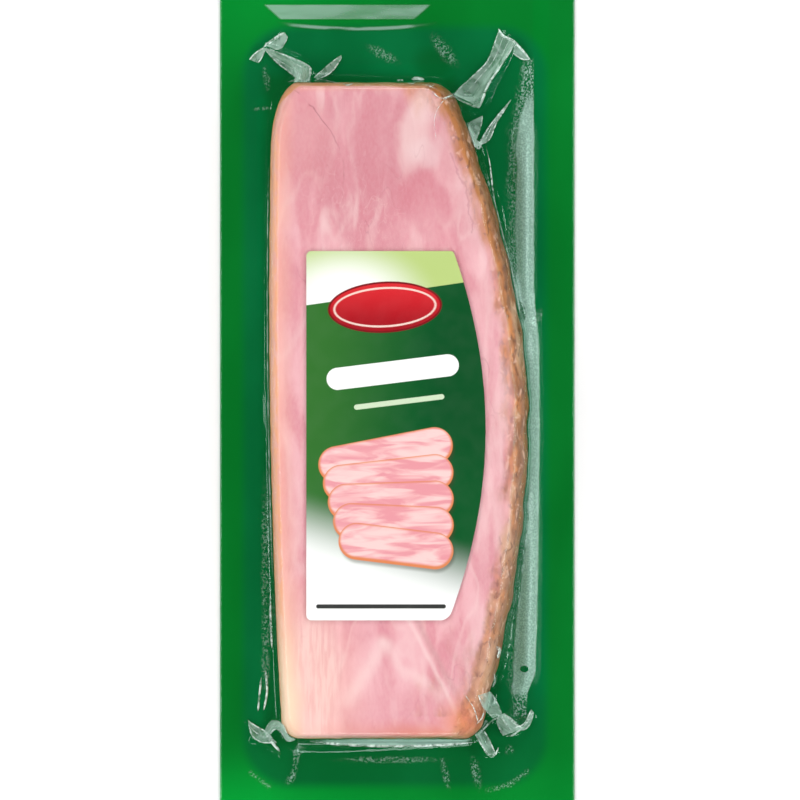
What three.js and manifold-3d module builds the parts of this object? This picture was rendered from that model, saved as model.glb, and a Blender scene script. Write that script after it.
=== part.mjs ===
// A sealed pack of cooked, smoked bacon, lying on its back. A slab of bacon sits on a flat green
// backing film. A clear film that was drawn as a pocket is pulled tight over the slab by vacuum, falls
// to the backing round it, folds into a pleat at each corner, and is sealed flat to the backing out to
// the edges of the pack. A printed label with one curved side is stuck on the clear film.
// Units are millimetres. +Z is up, out of the pack's front, and +Y runs to the top of the pack.
import * as THREE from "three";
import { mergeVertices } from "three/addons/utils/BufferGeometryUtils.js";
import Module from "manifold-3d";

// The pack and its two films.
const PACK_WIDTH = 110;
const PACK_LENGTH = 262;
const PACK_CORNER = 3;
const BACKING_THICKNESS = 0.5;
const FILM_THICKNESS = 0.4;

// The pocket, measured from the pack's centre.
const POCKET = { left: -49, right: 47.5, top: 117, bottom: -121, corner: 16 };
const POCKET_BEAD = 0.4;

// The slab: its widest outline as seen from above, and its height above the backing.
const SLAB_HEIGHT = 20;
const SLAB_TOP = 98;
const SLAB_BOTTOM = -104.5;
const SLAB_LEFT = -39.4;
const SLAB_LEFT_WAIST_Y = 31;
const SLAB_LEFT_TAPER = 3.4;
const SLAB_LEFT_TAPER_LENGTH = 124;
const BELLY_REACH = 40.2;
const BELLY_Y = -4;
const BELLY_UPPER = { drop: 24.2, length: 102, power: 1.75 };
const BELLY_LOWER = { drop: 15.6, length: 100.5, power: 2 };
// How far each corner's round reaches along the short sides and along the long ones.
const SLAB_CORNERS = [4.5, 6, 8, 5];
const SLAB_CORNER_HEIGHTS = [4.5, 6, 20, 6];
const WIDEST_HEIGHT = 8;
const FOOT_INSET = 1.2;
// How far the cut face's edge lies inside the widest outline, on each side.
const FACE_INSET = { left: 3, right: 5, top: 2.2, bottom: 2 };
const FACE_CROWN = 0.9;
const FACE_RIPPLE = 0.25;
const RIND_LUMP = 0.2;

// The clear film where it leaves the slab. Each reach is the length over which it falls away.
const SLAB_TO_FILM = 0.3;
const FALL = { left: 0.9, right: 1.1, top: 2.2, bottom: 1.1 };
// A narrow cuff of slack film along the foot of the slab's lower end.
const CUFF = { reach: 1.8, width: 1.5, height: 2.2 };
// The slack that lies as a soft roll along the pocket's right wall, nearer the slab at its upper end.
const ROLL = { lowerX: 41.2, upperX: 39.5, width: 2.7, height: 2.4, top: 92, bottom: -96, fade: 12 };
const ROLL_BEND = { start: 14, end: 36 };
// The pleats at the pocket's corners: points along each crest as x, y, height and half width. The long
// ones come down from the slab's corners, and a low one lies across each long one's outer end.
const PLEATS = [
  [[-31, 95.5, 19, 2.6], [-29.8, 102.8, 11, 2.4], [-34.5, 106.6, 5.5, 2], [-41.5, 110, 1.6, 1.4]],
  [[-46, 105.2, 0.7, 1], [-41.2, 110.4, 1.3, 1], [-34.6, 114.6, 0.7, 1]],
  [[16, 92.5, 19, 2.8], [24.6, 92, 12.5, 2.6], [29.4, 100, 6.5, 2.2], [36.2, 110.8, 1.6, 1.4]],
  [[31, 115, 0.7, 1], [36.8, 110.8, 1.4, 1.1], [42.4, 104.6, 0.7, 1]],
  [[-31.5, -101.5, 18.5, 2.4], [-36.6, -100.6, 10, 2.2], [-40.4, -104, 5, 1.8], [-45, -105.6, 1.4, 1.2]],
  [[-46.6, -99.4, 0.7, 1], [-43.6, -105.6, 1.3, 1], [-36.6, -110.4, 0.7, 1]],
  [[24.6, -98.5, 18.5, 2.6], [31, -97.4, 11.5, 2.6], [36.2, -101.6, 5.5, 2.4], [42, -98.4, 1.4, 1.4]],
  [[24.4, -103.6, 9, 1.4], [27.6, -109.4, 2.6, 1.4], [31.2, -109.4, 0.8, 1]],
];
const PLEAT_SECTION = [[-1, 0], [-0.62, 0.42], [-0.22, 0.92], [0.12, 1], [0.4, 0.74], [1, 0]];
const PLEAT_STEPS = 9;

// The label, stuck on the clear film over the slab.
const LABEL = { left: -28, top: 45.9, bottom: -67.9, belly: 27.2, bellyY: -9, bow: 0.0033 };
const LABEL_CORNERS = [2.4, 0.8, 1.6, 1.6];
const LABEL_THICKNESS = 0.3;
const LABEL_GAP = 0.1;

// How many points an outline takes along its long sides, short sides and corners.
const LONG_POINTS = 27;
const SHORT_POINTS = 10;
const CORNER_POINTS = 8;

const wasm = await Module();
wasm.setup();

const lerp = THREE.MathUtils.lerp;
const range = (count, make) => Array.from({ length: count }, (_, i) => make(i / (count - 1)));

// A closed outline in the XY plane, counter-clockwise from the lower right. left and right give x at a
// y, top and bottom give y at an x, and ends holds the y of the corners. corners says how far each one's
// round reaches along x, and heights how far along y, which is the same if it isn't given.
function outline({ left, right, top, bottom, ends, corners, heights = corners }) {
  const [low, high] = ends;
  const [lowerRight, upperRight, upperLeft, lowerLeft] = corners;
  const [lowerRightUp, upperRightDown, upperLeftDown, lowerLeftUp] = heights;
  const points = [];
  const side = (count, at) => points.push(...range(count, at));
  const turn = (from, corner, to) => {
    for (let i = 1; i <= CORNER_POINTS; i++) {
      const angle = (Math.PI / 2) * (i / (CORNER_POINTS + 1));
      const along = (axis) =>
        corner[axis] +
        (from[axis] - corner[axis]) * (1 - Math.sin(angle)) +
        (to[axis] - corner[axis]) * (1 - Math.cos(angle));
      points.push(new THREE.Vector2(along("x"), along("y")));
    }
  };
  const onRight = (y) => new THREE.Vector2(right(y), y);
  const onLeft = (y) => new THREE.Vector2(left(y), y);
  const onTop = (x) => new THREE.Vector2(x, top(x));
  const onBottom = (x) => new THREE.Vector2(x, bottom(x));

  side(LONG_POINTS, (t) => onRight(lerp(low + lowerRightUp, high - upperRightDown, t)));
  const topRight = right(high) - upperRight;
  const topLeft = left(high) + upperLeft;
  turn(onRight(high - upperRightDown), onRight(high), onTop(topRight));
  side(SHORT_POINTS, (t) => onTop(lerp(topRight, topLeft, t)));
  turn(onTop(topLeft), onLeft(high), onLeft(high - upperLeftDown));
  side(LONG_POINTS, (t) => onLeft(lerp(high - upperLeftDown, low + lowerLeftUp, t)));
  const bottomLeft = left(low) + lowerLeft;
  const bottomRight = right(low) - lowerRight;
  turn(onLeft(low + lowerLeftUp), onLeft(low), onBottom(bottomLeft));
  side(SHORT_POINTS, (t) => onBottom(lerp(bottomLeft, bottomRight, t)));
  turn(onBottom(bottomRight), onRight(low), onRight(low + lowerRightUp));
  return points;
}

// An upright rectangle with round corners, as an outline.
function roundedBox({ left, right, top, bottom, corner }) {
  return outline({
    left: () => left,
    right: () => right,
    top: () => top,
    bottom: () => bottom,
    ends: [bottom, top],
    corners: [corner, corner, corner, corner],
  });
}

const atHeight = (points, z) => points.map((p) => new THREE.Vector3(p.x, p.y, z));

// Closes a stack of outlines, listed from the bottom up, into one solid. Each end is closed by rungs
// from the right side to the left, and by a fan over each short end.
function loft(rings) {
  const count = rings[0].length;
  const faces = [];
  for (let r = 0; r + 1 < rings.length; r++) {
    for (let i = 0; i < count; i++) {
      const next = (i + 1) % count;
      const [a, b] = [r * count + i, r * count + next];
      faces.push(a, b, b + count, a, b + count, a + count);
    }
  }
  const leftStart = LONG_POINTS + 2 * CORNER_POINTS + SHORT_POINTS;
  const cap = [];
  for (let i = 0; i + 1 < LONG_POINTS; i++) {
    const [right, left] = [i, leftStart + LONG_POINTS - 1 - i];
    cap.push(right, right + 1, left - 1, right, left - 1, left);
  }
  const fan = (hub, first, last) => {
    for (let i = first; i < last; i++) cap.push(hub, i, i + 1);
  };
  fan(LONG_POINTS - 1, LONG_POINTS, leftStart);
  fan(0, leftStart + LONG_POINTS - 1, count - 1);
  const topStart = (rings.length - 1) * count;
  for (let i = 0; i < cap.length; i += 3) {
    faces.push(cap[i + 2], cap[i + 1], cap[i]);
    faces.push(topStart + cap[i], topStart + cap[i + 1], topStart + cap[i + 2]);
  }
  const geometry = new THREE.BufferGeometry();
  geometry.setFromPoints(rings.flat());
  geometry.setIndex(faces);
  return geometry;
}

// The right side's lumps, where the rind was smoked and spiced.
const rindLump = (y, z) =>
  RIND_LUMP * (Math.sin(0.31 * y + 1.3) + 0.7 * Math.sin(0.53 * y + 0.35 * z));

const slabLeft = (y) =>
  SLAB_LEFT + SLAB_LEFT_TAPER * ((y - SLAB_LEFT_WAIST_Y) / SLAB_LEFT_TAPER_LENGTH) ** 2;

function slabRight(y) {
  const { drop, length, power } = y > BELLY_Y ? BELLY_UPPER : BELLY_LOWER;
  return BELLY_REACH - drop * (Math.abs(y - BELLY_Y) / length) ** power;
}

// The slab's outline at one level. share says how much of the face's inset it takes on each side,
// grow pushes it outwards, and shrink draws it in towards the middle of the face.
function slabOutline({ share, grow = 0, shrink = 0, z = 0, foot = 0 }) {
  const inset = (side) => share * FACE_INSET[side] + foot - grow;
  const rawLeft = (y) => slabLeft(y) + inset("left");
  const rawRight = (y) => slabRight(y) - inset("right") + (1 - shrink) * rindLump(y, z);
  const halfWidth = (y) => (rawRight(y) - rawLeft(y)) / 2;
  const top = SLAB_TOP - inset("top");
  const bottom = SLAB_BOTTOM + inset("bottom");
  const endShrink = (shrink * (top - bottom)) / 3;
  const levelled = (reaches) => reaches.map((reach) => (reach - share) * (1 - shrink));
  return outline({
    left: (y) => rawLeft(y) + shrink * halfWidth(y),
    right: (y) => rawRight(y) - shrink * halfWidth(y),
    top: () => top - endShrink,
    bottom: () => bottom + endShrink,
    ends: [bottom + endShrink, top - endShrink],
    corners: levelled(SLAB_CORNERS),
    heights: levelled(SLAB_CORNER_HEIGHTS),
  });
}

// How far the cut face stands above its edge at a point: a low crown with a slow ripple.
function faceRise(x, y) {
  const crown = Math.max(0, 1 - (x / 46) ** 2) * Math.max(0, 1 - (y / 112) ** 2);
  const ripple = Math.sin(0.09 * x + 1) * Math.sin(0.06 * y + 2);
  return FACE_CROWN * crown + FACE_RIPPLE * ripple * crown;
}

// The slab's outer surface from its widest level up over the cut face, pushed out by grow.
function slabShell(grow) {
  const base = BACKING_THICKNESS;
  const shoulder = [0, 0.3, 0.55, 0.8, 1].map((turn) => {
    const angle = (Math.PI / 2) * turn;
    const z = WIDEST_HEIGHT + (SLAB_HEIGHT - WIDEST_HEIGHT) * Math.sin(angle);
    const points = slabOutline({ share: 1 - Math.cos(angle), grow: grow * Math.cos(angle), z });
    return atHeight(points, base + z + grow * Math.sin(angle));
  });
  const face = [0.12, 0.4, 0.72].map((shrink) => {
    const points = slabOutline({ share: 1, shrink, z: SLAB_HEIGHT });
    return points.map((p) => {
      const z = base + SLAB_HEIGHT + grow + faceRise(p.x, p.y);
      return new THREE.Vector3(p.x, p.y, z);
    });
  });
  return [...shoulder, ...face];
}

function slabGeometry() {
  const foot = atHeight(slabOutline({ share: 0, foot: FOOT_INSET }), BACKING_THICKNESS);
  const ankleHeight = 2.5;
  const ankle = slabOutline({ share: 0, foot: FOOT_INSET / 4, z: ankleHeight });
  return loft([foot, atHeight(ankle, BACKING_THICKNESS + ankleHeight), ...slabShell(0)]);
}

const smoothstep = THREE.MathUtils.smoothstep;

// The height of the slack film's roll along the right wall of the pocket.
function rollHeight(x, y) {
  const axis = lerp(ROLL.lowerX, ROLL.upperX, smoothstep(y, ROLL_BEND.start, ROLL_BEND.end));
  const across = Math.exp(-(((x - axis) / ROLL.width) ** 2));
  const along =
    smoothstep(y, ROLL.bottom, ROLL.bottom + ROLL.fade) *
    (1 - smoothstep(y, ROLL.top - ROLL.fade, ROLL.top));
  return ROLL.height * across * along;
}

// One pleat as a closed ridge that stands on the backing and follows its crest.
function pleatGeometry(crest) {
  const path = new THREE.CatmullRomCurve3(crest.map(([x, y, z]) => new THREE.Vector3(x, y, z)));
  const foot = BACKING_THICKNESS + FILM_THICKNESS / 2;
  const sections = range(PLEAT_STEPS, (t) => {
    const top = path.getPoint(t);
    const along = path.getTangent(t).setZ(0).normalize();
    const across = new THREE.Vector3(-along.y, along.x, 0);
    const place = t * (crest.length - 1);
    const from = Math.min(Math.floor(place), crest.length - 2);
    const halfWidth = lerp(crest[from][3], crest[from + 1][3], place - from);
    return PLEAT_SECTION.map(([aside, rise]) => {
      const point = top.clone().addScaledVector(across, aside * halfWidth);
      return point.setZ(foot + rise * top.z);
    });
  });
  const count = PLEAT_SECTION.length;
  const faces = [];
  for (let s = 0; s + 1 < PLEAT_STEPS; s++) {
    for (let i = 0; i < count; i++) {
      const next = (i + 1) % count;
      const [a, b] = [s * count + i, s * count + next];
      faces.push(a, b + count, b, a, a + count, b + count);
    }
  }
  const last = (PLEAT_STEPS - 1) * count;
  for (let i = 1; i + 1 < count; i++) {
    faces.push(0, i, i + 1);
    faces.push(last, last + i + 1, last + i);
  }
  const geometry = new THREE.BufferGeometry();
  geometry.setFromPoints(sections.flat());
  geometry.setIndex(faces);
  return geometry;
}

// The clear film between the slab and the pocket's wall. share runs from 0 at the slab to 1 at the wall.
function fallRing(slabRing, wallRing, share) {
  const flat = BACKING_THICKNESS + FILM_THICKNESS;
  return slabRing.map((from, i) => {
    const to = wallRing[i];
    const x = lerp(from.x, to.x, share);
    const y = lerp(from.y, to.y, share);
    const sideways = Math.abs(to.x - from.x) / Math.hypot(to.x - from.x, to.y - from.y);
    const endFall = from.y > 0 ? FALL.top : FALL.bottom;
    const sideFall = from.x > 0 ? FALL.right : FALL.left;
    const distance = Math.hypot(x - from.x, y - from.y);
    const fall = Math.exp(-distance / lerp(endFall, sideFall, sideways));
    const drop = (from.z - flat) * fall * (1 - share);
    const cuffShape = Math.exp(-(((distance - CUFF.reach) / CUFF.width) ** 2));
    const cuff = from.y < 0 ? CUFF.height * cuffShape * (1 - sideways) ** 2 : 0;
    return new THREE.Vector3(x, y, flat + drop + cuff + rollHeight(x, y));
  });
}

const toManifold = (geometry) => {
  const merged = mergeVertices(geometry, 1e-4);
  const vertProperties = merged.attributes.position.array;
  const triVerts = new Uint32Array(merged.index.array);
  return new wasm.Manifold(new wasm.Mesh({ numProp: 3, vertProperties, triVerts }));
};

function fromManifold(solid) {
  const mesh = solid.getMesh();
  const geometry = new THREE.BufferGeometry();
  geometry.setAttribute("position", new THREE.BufferAttribute(mesh.vertProperties, 3));
  geometry.setIndex(new THREE.BufferAttribute(mesh.triVerts, 1));
  return geometry;
}

// The filled pocket out to the film's outer face, with the seal round it, less the slab's own room.
function clearFilmGeometry() {
  const edge = packOutline();
  const flat = BACKING_THICKNESS + FILM_THICKNESS;
  const wall = roundedBox(POCKET);
  const inside = (by) =>
    roundedBox({
      left: POCKET.left + by,
      right: POCKET.right - by,
      top: POCKET.top - by,
      bottom: POCKET.bottom + by,
      corner: POCKET.corner - by,
    });
  const over = slabShell(SLAB_TO_FILM + FILM_THICKNESS);
  const innerWall = inside(2.4);
  const shares = [0.97, 0.86, 0.7, 0.52, 0.36, 0.24, 0.15, 0.08, 0.03];
  const outer = loft([
    atHeight(edge, BACKING_THICKNESS),
    atHeight(edge, flat),
    atHeight(wall, flat),
    atHeight(inside(1.1), flat + POCKET_BEAD),
    ...shares.map((share) => fallRing(over[0], innerWall, share)),
    ...over,
  ]);
  const room = slabShell(SLAB_TO_FILM);
  const opening = room[0].map((p) => new THREE.Vector3(p.x, p.y, 0));
  let solid = toManifold(outer);
  for (const crest of PLEATS) solid = solid.add(toManifold(pleatGeometry(crest)));
  return fromManifold(solid.subtract(toManifold(loft([opening, ...room]))));
}

const packOutline = () =>
  roundedBox({
    left: -PACK_WIDTH / 2,
    right: PACK_WIDTH / 2,
    top: PACK_LENGTH / 2,
    bottom: -PACK_LENGTH / 2,
    corner: PACK_CORNER,
  });

function backingGeometry() {
  return loft([atHeight(packOutline(), 0), atHeight(packOutline(), BACKING_THICKNESS)]);
}

// The label's outline: straight on the left, bowed on the right like the slab, and drawn in by shrink.
function labelOutline(shrink) {
  const right = (y) => LABEL.belly - LABEL.bow * (y - LABEL.bellyY) ** 2;
  const halfWidth = (y) => (right(y) - LABEL.left) / 2;
  const endShrink = (shrink * (LABEL.top - LABEL.bottom)) / 3;
  return outline({
    left: (y) => LABEL.left + shrink * halfWidth(y),
    right: (y) => right(y) - shrink * halfWidth(y),
    top: () => LABEL.top - endShrink,
    bottom: () => LABEL.bottom + endShrink,
    ends: [LABEL.bottom + endShrink, LABEL.top - endShrink],
    corners: LABEL_CORNERS.map((radius) => radius * (1 - shrink)),
  });
}

function labelGeometry() {
  const filmTop = BACKING_THICKNESS + SLAB_HEIGHT + SLAB_TO_FILM + FILM_THICKNESS;
  const draped = (shrink, lift) =>
    labelOutline(shrink).map((p) => {
      const z = filmTop + lift + faceRise(p.x, p.y);
      return new THREE.Vector3(p.x, p.y, z);
    });
  const under = [0.6, 0.3, 0].map((shrink) => draped(shrink, LABEL_GAP));
  const over = [0, 0.3, 0.6].map((shrink) => draped(shrink, LABEL_GAP + LABEL_THICKNESS));
  return loft([...under, ...over]);
}

const backingGreen = new THREE.MeshStandardMaterial({ color: 0x02723a, roughness: 0.35 });
const baconPink = new THREE.MeshStandardMaterial({ color: 0xe6a0a6, roughness: 0.5 });
const clearPlastic = new THREE.MeshStandardMaterial({
  color: 0xe8f2ee,
  roughness: 0.12,
  transparent: true,
  opacity: 0.25,
});
const labelPaper = new THREE.MeshStandardMaterial({ color: 0x17692f, roughness: 0.4 });

function node(name, geometry, material) {
  geometry.computeVertexNormals();
  const mesh = new THREE.Mesh(geometry, material);
  mesh.name = name;
  return mesh;
}

const pack = new THREE.Group();
pack.add(node("backing_film", backingGeometry(), backingGreen));
pack.add(node("bacon_slab", slabGeometry(), baconPink));
pack.add(node("clear_film", clearFilmGeometry(), clearPlastic));
pack.add(node("label", labelGeometry(), labelPaper));

export default pack;
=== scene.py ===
# A sealed pack of smoked bacon, lying on its back and seen from straight above. Lengths in this script
# are in millimetres, and the meshes are made in metres.
import math
from functools import partialmethod

import bpy
import numpy as np
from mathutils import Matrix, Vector, noise
from mathutils.bvhtree import BVHTree


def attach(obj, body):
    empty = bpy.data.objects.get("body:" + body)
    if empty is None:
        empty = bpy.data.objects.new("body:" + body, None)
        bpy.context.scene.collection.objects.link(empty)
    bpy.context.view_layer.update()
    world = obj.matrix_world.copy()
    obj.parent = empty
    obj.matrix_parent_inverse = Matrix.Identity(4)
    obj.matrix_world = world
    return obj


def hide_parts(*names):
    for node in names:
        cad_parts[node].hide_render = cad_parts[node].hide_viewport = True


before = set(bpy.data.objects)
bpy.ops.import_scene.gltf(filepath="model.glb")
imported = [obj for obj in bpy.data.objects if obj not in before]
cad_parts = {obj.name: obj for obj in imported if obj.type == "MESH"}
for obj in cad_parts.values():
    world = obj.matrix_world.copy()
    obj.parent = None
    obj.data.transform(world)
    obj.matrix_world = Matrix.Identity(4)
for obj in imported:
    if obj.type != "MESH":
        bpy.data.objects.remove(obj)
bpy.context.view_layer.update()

# Backing film and the sealed clear film on it.
BACKING = 0.5
FLAT = 0.9
PACK = {"left": -55, "right": 55, "top": 131, "bottom": -131, "corner": 3}
POCKET = {"left": -49, "right": 47.5, "top": 117, "bottom": -121, "corner": 16}
POCKET_SWELL = 0.1

# The slab of bacon.
SLAB_HEIGHT = 20
FACE_Z = BACKING + SLAB_HEIGHT
SLAB_TOP = 98
SLAB_BOTTOM = -104.5
SLAB_LEFT = -39.4
SLAB_LEFT_WAIST_Y = 31
SLAB_LEFT_TAPER = 3.4
SLAB_LEFT_TAPER_LENGTH = 124
BELLY_REACH = 40.2
BELLY_Y = -4
BELLY_UPPER = (24.2, 102, 1.75)
BELLY_LOWER = (15.6, 100.5, 2)
SLAB_CORNERS = np.array([4.5, 6, 8, 5])
SLAB_CORNER_HEIGHTS = np.array([4.5, 6, 20, 6])
WIDEST_HEIGHT = 8
FOOT_INSET = 1.2
FACE_INSET = {"left": 3, "right": 5, "top": 2.2, "bottom": 2}
FACE_CROWN = 0.9
FACE_CROWN_HALF = (46, 112)
FACE_RIPPLE = 0.25
RIND_LUMP = 0.2

# The clear film round the slab.
SLAB_TO_FILM = 0.6
FALL = {"left": 0.3, "right": 0.6, "top": 1.0, "bottom": 0.6}
CUFF_REACH, CUFF_WIDTH, CUFF_HEIGHT = 1.8, 1.5, 2.2
CUFF_Y, CUFF_BOW = -106.2, 0.0021
ROLL_LOWER_X, ROLL_UPPER_X, ROLL_BOW = 41.2, 39.5, 0.0002
ROLL_BEND = (14, 36)
ROLL_WIDTH, ROLL_HEIGHT = 2.7, 2.3
ROLL_TOP, ROLL_BOTTOM, ROLL_FADE = 92, -96, 12
ROLL_NECK_Y, ROLL_NECK_LENGTH, ROLL_NECK_DEPTH = 27, 6, 0.55

# The pleats at the pocket's corners: points along each crest as x, y, height and half width.
PLEATS = [
    [(-31, 95.5, 19, 2.6), (-29.8, 102.8, 11, 2.4), (-34.5, 106.6, 5.5, 2), (-41.5, 110, 1.6, 1.4)],
    [(-46, 105.2, 0.7, 1), (-41.2, 110.4, 1.3, 1), (-34.6, 114.6, 0.7, 1)],
    [(16, 92.5, 19, 2.8), (24.6, 92, 12.5, 2.6), (29.4, 100, 6.5, 2.2), (36.2, 110.8, 1.6, 1.4)],
    [(31, 115, 0.7, 1), (36.8, 110.8, 1.4, 1.1), (42.4, 104.6, 0.7, 1)],
    [(-31.5, -101.5, 18.5, 2.4), (-36.6, -100.6, 10, 2.2), (-40.4, -104, 5, 1.8), (-45, -105.6, 1.4, 1.2)],
    [(-46.6, -99.4, 0.7, 1), (-43.6, -105.6, 1.3, 1), (-36.6, -110.4, 0.7, 1)],
    [(24.6, -98.5, 18.5, 2.6), (31, -97.4, 11.5, 2.6), (36.2, -101.6, 5.5, 2.4), (42, -98.4, 1.4, 1.4)],
    [(24.4, -103.6, 9, 1.4), (27.6, -109.4, 2.6, 1.4), (31.2, -109.4, 0.8, 1)],
]

# A pleat's section: how far aside in half widths, and the share of the height.
PLEAT_SECTION = [(-1, 0), (-0.62, 0.42), (-0.22, 0.92), (0.12, 1), (0.4, 0.74), (1, 0)]

# The label on the clear film.
LABEL = {"left": -28, "top": 45.9, "bottom": -67.9, "belly": 27.2, "belly_y": -9, "bow": 0.0033}
LABEL_CORNERS = np.array([2.4, 0.8, 1.6, 1.6])
LABEL_GAP = 0.02
LABEL_THICKNESS = 0.3

# Small lumps: height, size across and noise seed of each layer.
RIND_LUMPS = [(0.5, 5.5, 1), (0.35, 2.4, 2)]
FACE_LUMPS = [(0.12, 7, 3), (0.04, 2, 4)]
FILM_CRUMPLES = [(0.1, 4.2, 5), (0.07, 1.7, 6)]
FOLD_LUMPS = [(0.07, 3, 8)]
FOLD_RISE = 0.14

# How many points an outline takes along its long sides, short sides and corners.
FINE = (240, 70, 36)
COARSE = (120, 40, 12)


# Outlines and rings

def smooth(value, start, end):
    """0 up to start, 1 from end on, and smooth between."""
    share = np.clip((value - start) / (end - start), 0, 1)
    return share * share * (3 - 2 * share)


def spaced(start, end, count):
    """Places from start to end that lie closer together towards both ends."""
    share = 0.5 - 0.5 * np.cos(np.linspace(0, math.pi, count))
    share = 0.5 * share + 0.5 * np.linspace(0, 1, count)
    return start + (end - start) * share


def outline(left, right, top, bottom, corners, heights=None, shrink=0.0, counts=FINE):
    """A closed outline of x and y, counter-clockwise from the lower right.

    corners says how far each corner's round reaches along x, and heights how far along y. shrink is
    the share by which the outline is drawn in towards its middle line.
    """
    end_shrink = shrink * (top - bottom) / 3
    top, bottom = top - end_shrink, bottom + end_shrink
    reaches = np.array([corners, corners if heights is None else heights]) * (1 - shrink)
    lower_right, upper_right, upper_left, lower_left = reaches[0]
    right_up, right_down, left_down, left_up = reaches[1]
    long_count, short_count, corner_count = counts
    angle = (math.pi / 2) * np.arange(1, corner_count + 1) / (corner_count + 1)

    def left_in(y):
        return left(y) + shrink * (right(y) - left(y)) / 2

    def right_in(y):
        return right(y) - shrink * (right(y) - left(y)) / 2

    def turn(before, corner, after):
        out = np.outer(1 - np.sin(angle), before - corner)
        return corner + out + np.outer(1 - np.cos(angle), after - corner)

    def upright(edge, start, end):
        y = spaced(start, end, long_count)
        return np.column_stack([edge(y), y])

    def level(height, start, end):
        x = np.linspace(start, end, short_count)
        return np.column_stack([x, np.full(short_count, float(height))])

    runs = [
        upright(right_in, bottom + right_up, top - right_down),
        level(top, right_in(top) - upper_right, left_in(top) + upper_left),
        upright(left_in, top - left_down, bottom + left_up),
        level(bottom, left_in(bottom) + lower_left, right_in(bottom) - lower_right),
    ]
    pieces = []
    for i, (side, y) in enumerate([(right_in, top), (left_in, top), (left_in, bottom), (right_in, bottom)]):
        pieces += [runs[i], turn(runs[i][-1], np.array([side(y), y]), runs[(i + 1) % 4][0])]
    return np.vstack(pieces)


def rounded_box(box, inset=0.0):
    left, right = box["left"] + inset, box["right"] - inset
    top, bottom = box["top"] - inset, box["bottom"] + inset
    corners = [box["corner"] - inset] * 4
    return outline(lambda y: left + 0 * y, lambda y: right + 0 * y, top, bottom, corners)


def at_height(points, z):
    return np.column_stack([points, np.full(len(points), float(z))])


def slab_left(y):
    return SLAB_LEFT + SLAB_LEFT_TAPER * ((y - SLAB_LEFT_WAIST_Y) / SLAB_LEFT_TAPER_LENGTH) ** 2


def belly_bow(away, reach, length, power):
    """How far the slab's right side draws back at a distance from its belly."""
    return reach * (away / length) ** power


def slab_right(y):
    away = np.abs(y - BELLY_Y)
    bows = [belly_bow(away, *half) for half in (BELLY_UPPER, BELLY_LOWER)]
    return BELLY_REACH - np.where(y > BELLY_Y, *bows)


def rind_lump(y, z):
    """Two long waves along the rind, as in the solid."""
    return RIND_LUMP * (np.sin(0.31 * y + 1.3) + 0.7 * np.sin(0.53 * y + 0.35 * z))


def slab_outline(share, grow=0.0, shrink=0.0, z=0.0, foot=0.0):
    """The slab's outline at one level. share is how much of the face's inset it takes."""
    inset = {side: share * width + foot - grow for side, width in FACE_INSET.items()}
    return outline(
        left=lambda y: slab_left(y) + inset["left"],
        right=lambda y: slab_right(y) - inset["right"] + (1 - shrink) * rind_lump(y, z),
        top=SLAB_TOP - inset["top"],
        bottom=SLAB_BOTTOM + inset["bottom"],
        corners=SLAB_CORNERS - share,
        heights=SLAB_CORNER_HEIGHTS - share,
        shrink=shrink,
    )


def face_rise(x, y):
    """How far the cut face stands above its edge."""
    half_x, half_y = FACE_CROWN_HALF
    crown = np.maximum(0, 1 - (x / half_x) ** 2) * np.maximum(0, 1 - (y / half_y) ** 2)
    ripple = np.sin(0.09 * x + 1) * np.sin(0.06 * y + 2)
    return FACE_CROWN * crown + FACE_RIPPLE * ripple * crown


def slab_shell(grow, shoulder_steps, face_steps):
    """The slab's surface from its widest level up over the cut face, pushed out by grow."""
    rings = []
    for turn in np.linspace(0, 1, shoulder_steps):
        angle = math.pi / 2 * turn
        z = WIDEST_HEIGHT + (SLAB_HEIGHT - WIDEST_HEIGHT) * math.sin(angle)
        points = slab_outline(1 - math.cos(angle), grow=grow * math.cos(angle), z=z)
        rings.append(at_height(points, BACKING + z + grow * math.sin(angle)))
    for shrink in np.linspace(0.02, 0.98, face_steps):
        points = slab_outline(1, shrink=shrink, z=SLAB_HEIGHT)
        ring = at_height(points, FACE_Z + grow)
        ring[:, 2] += face_rise(points[:, 0], points[:, 1]) * smooth(shrink, 0, 0.12)
        rings.append(ring)
    return rings


def grain(points, size, seed):
    """Smooth noise from -1 to 1 at each point, with lumps about size across."""
    shift = Vector((seed * 17.3, seed * 5.1, seed * 9.7))
    return np.array([noise.noise(Vector(p) / size + shift) for p in points])


def lumps(points, layers):
    return sum(height * grain(points, size, seed) for height, size, seed in layers)


# Meshes

def add_object(name, data):
    thing = bpy.data.objects.new(name, data)
    bpy.context.scene.collection.objects.link(thing)
    return thing


def new_object(name, points, faces, smooth_angle=None):
    mesh = bpy.data.meshes.new(name)
    mesh.from_pydata((np.asarray(points) / 1000).tolist(), [], faces)
    mesh.update()
    mesh.polygons.foreach_set("use_smooth", [True] * len(mesh.polygons))
    if smooth_angle is not None:
        mesh.set_sharp_from_angle(angle=math.radians(smooth_angle))
    return add_object(name, mesh)


def cap_faces(start, counts, upward):
    """Faces that close a ring: rungs from its right side to its left, and a fan over each end."""
    long_count, short_count, corner_count = counts
    left_start = long_count + 2 * corner_count + short_count
    count = 2 * (long_count + short_count) + 4 * corner_count
    faces = []
    for i in range(long_count - 1):
        left = left_start + long_count - 1 - i
        faces.append((i, i + 1, left - 1, left))
    faces += [(long_count - 1, i, i + 1) for i in range(long_count, left_start)]
    faces += [(0, i, i + 1) for i in range(left_start + long_count - 1, count - 1)]
    faces = [tuple(start + i for i in face) for face in faces]
    return faces if upward else [face[::-1] for face in faces]


def ring_faces(ring_count, count):
    i = np.arange(count)
    j = (i + 1) % count
    faces = []
    for r in range(ring_count - 1):
        quad = np.column_stack([i, j, j + count, i + count]) + r * count
        faces += quad.tolist()
    return faces


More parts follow.
